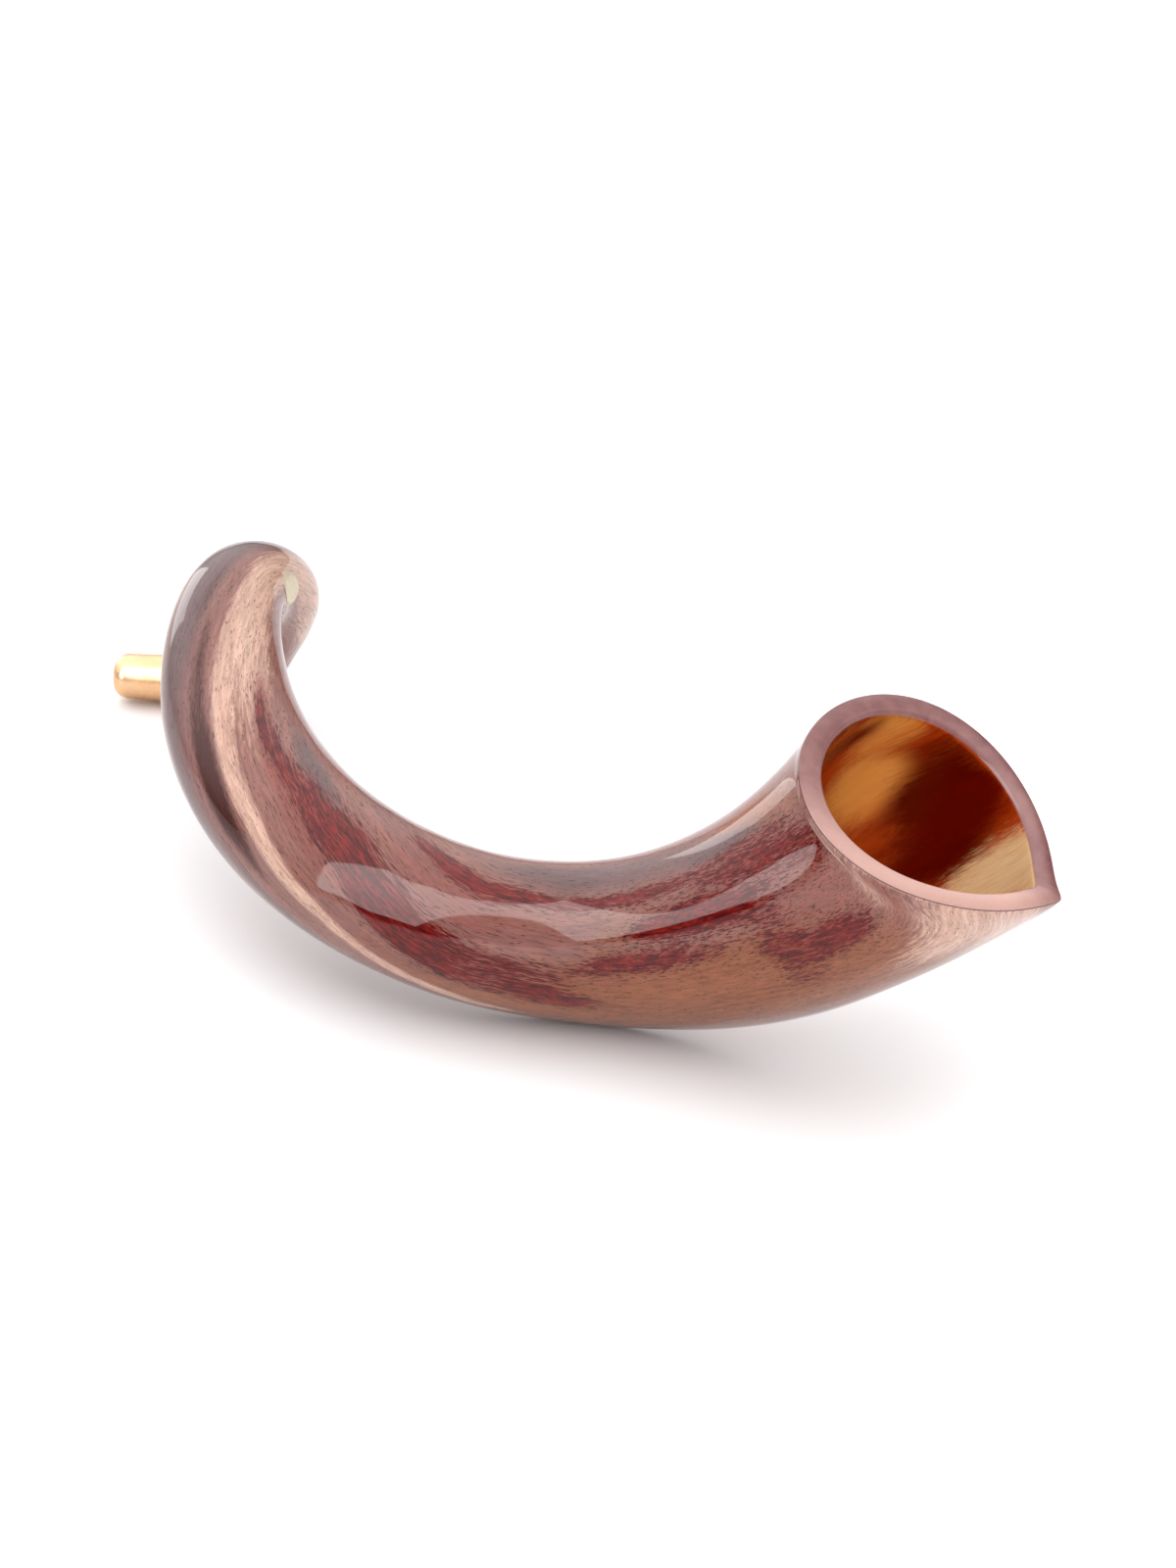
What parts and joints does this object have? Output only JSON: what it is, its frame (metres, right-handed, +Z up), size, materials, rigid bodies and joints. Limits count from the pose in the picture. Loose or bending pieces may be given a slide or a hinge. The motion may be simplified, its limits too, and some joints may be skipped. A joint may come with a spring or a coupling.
{
  "type": "blowing horn",
  "caption": "Curled natural-horn blowing horn with a keeled teardrop mouth, a brass ferrule and a removable brass mouthpiece on its tip.",
  "frame": {"origin": "middle of the bottom face of the whole object's box, on the surface that the horn rests on", "axes": "+Z up as it rests on a table; +X towards the mouth's side, -X the way the mouthpiece points; +Y away from the mouth, towards the loop and the tip"},
  "size_m": [0.3718, 0.3516, 0.1332],
  "materials": {
    "polished_horn": "polished, lacquered horn keratin, mauve-brown with cream and dark red streaks",
    "gold_plated_brass": "polished gold plate",
    "raw_brass": "drawn brass, reamed inside",
    "gold_foil": "satin gold foil sticker, blank, with a beaded border"
  },
  "bodies": {
    "horn": {"horn_shell": "polished_horn", "tip_ferrule": "gold_plated_brass", "receiver_tube": "raw_brass", "foil_label": "gold_foil"},
    "mouthpiece": {"mouthpiece": "gold_plated_brass"}
  },
  "joints": [
    {"name": "mouthpiece_pull", "type": "slide", "parent": "horn", "child": "mouthpiece", "axis": [-0.9903, 0.1392, 0], "range_m": [0, 0.04]}
  ]
}
